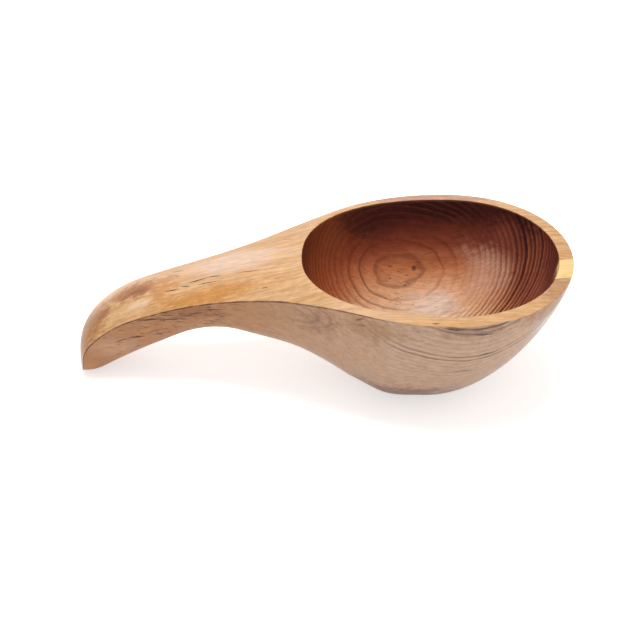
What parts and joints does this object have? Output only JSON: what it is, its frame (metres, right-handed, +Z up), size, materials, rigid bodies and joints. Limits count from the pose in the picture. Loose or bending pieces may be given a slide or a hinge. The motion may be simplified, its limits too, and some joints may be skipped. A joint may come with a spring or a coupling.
{
  "type": "wooden dipper",
  "caption": "Hand-carved wooden dipper: a deep egg-shaped bowl with a short broad handle that curves down to the table, and a pale inlay let into the rim at the nose.",
  "frame": {"origin": "middle of the flat foot under the bowl, on the surface that the dipper stands on", "axes": "+Z up, +X towards the nose of the bowl, -X along the handle, +Y to the left of someone who looks from the handle to the nose"},
  "size_m": [0.2437, 0.124, 0.062],
  "materials": {
    "teak": "oiled, satin, with growth rings; the hollow is a darker red-brown",
    "pale_inlay_wood": "fine-grained pale wood, sanded flush and oiled"
  },
  "bodies": {
    "root": {"dipper_body": "teak", "rim_inlay": "pale_inlay_wood"}
  },
  "joints": []
}
